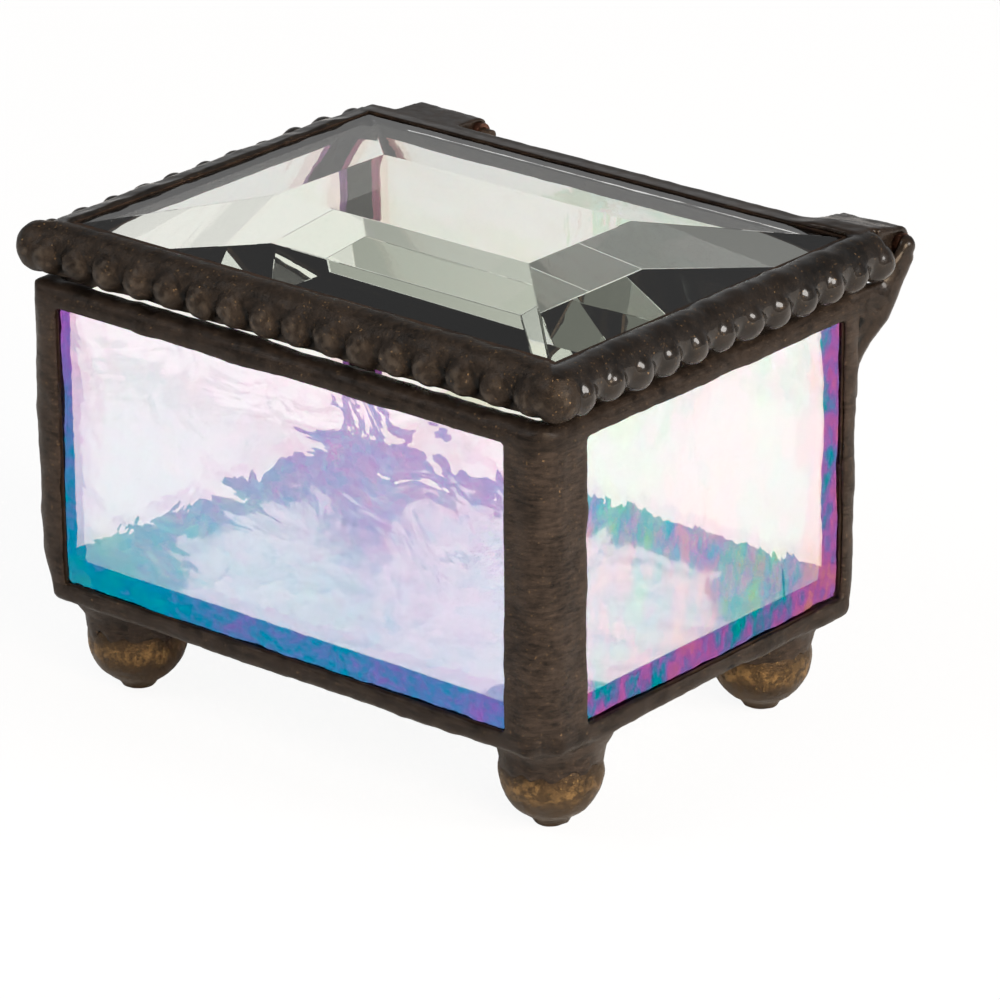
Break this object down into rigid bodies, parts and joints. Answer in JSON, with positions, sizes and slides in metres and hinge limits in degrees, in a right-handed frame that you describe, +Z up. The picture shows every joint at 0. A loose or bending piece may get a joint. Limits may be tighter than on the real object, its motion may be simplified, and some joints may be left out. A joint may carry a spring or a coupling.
{
  "type": "hinged glass casket box",
  "caption": "Rectangular casket of iridescent glass panes joined by dark solder, on ball feet, with a thick bevelled glass lid in a beaded solder rim hinged at the back.",
  "frame": {"origin": "bottom centre of the box that bounds the closed casket, at the flats of the feet", "axes": "+X to the right along the long front face, +Y to the back where the hinges are, +Z up"},
  "size_m": [0.0536, 0.043, 0.039],
  "materials": {
    "side_glass": "clear wavy glass with an iridescent coat, lavender to blue and green",
    "bottom_glass": "clear wavy glass with an iridescent coat",
    "lid_glass": "thick clear polished glass, faint green in the bevels",
    "copper_foil": "thin copper foil with dark patina",
    "seam_solder": "satin solder with a brown-black patina and fine brush marks",
    "beaded_solder": "lumpy glossy solder with a brown-black patina",
    "hinge_solder": "smooth satin solder with a brown-black patina",
    "hinge_tube": "copper-coloured thin tube, dark inside",
    "hinge_rod": "dark patina rod",
    "foot_brass": "dark antique brass worn to gold half-way up"
  },
  "bodies": {
    "box": {"front_glass": "side_glass", "front_foil": "copper_foil", "back_glass": "side_glass", "back_foil": "copper_foil", "left_glass": "side_glass", "left_foil": "copper_foil", "right_glass": "side_glass", "right_foil": "copper_foil", "bottom_glass": "bottom_glass", "bottom_foil": "copper_foil", "corner_seam_front_left": "seam_solder", "corner_seam_front_right": "seam_solder", "corner_seam_back_right": "seam_solder", "corner_seam_back_left": "seam_solder", "top_rim_front": "seam_solder", "bottom_seam_front": "seam_solder", "top_rim_back": "seam_solder", "bottom_seam_back": "seam_solder", "top_rim_left": "seam_solder", "bottom_seam_left": "seam_solder", "top_rim_right": "seam_solder", "bottom_seam_right": "seam_solder", "hinge_rod_left": "hinge_rod", "hinge_gusset_left": "hinge_solder", "hinge_rod_right": "hinge_rod", "hinge_gusset_right": "hinge_solder", "foot_front_left": "foot_brass", "foot_solder_front_left": "seam_solder", "foot_front_right": "foot_brass", "foot_solder_front_right": "seam_solder", "foot_back_right": "foot_brass", "foot_solder_back_right": "seam_solder", "foot_back_left": "foot_brass", "foot_solder_back_left": "seam_solder"},
    "lid": {"lid_glass": "lid_glass", "lid_foil": "copper_foil", "lid_roll_front": "beaded_solder", "lid_roll_left": "beaded_solder", "lid_roll_right": "beaded_solder", "lid_rim_back": "beaded_solder", "hinge_tube_left": "hinge_tube", "hinge_tube_right": "hinge_tube", "hinge_solder_left": "hinge_solder", "hinge_solder_right": "hinge_solder"}
  },
  "joints": [
    {"name": "lid_hinge", "type": "hinge", "parent": "box", "child": "lid", "pos_m": [0, 0.02027, 0.0358], "axis": [-1, 0, 0], "range_deg": [0, 105]}
  ]
}
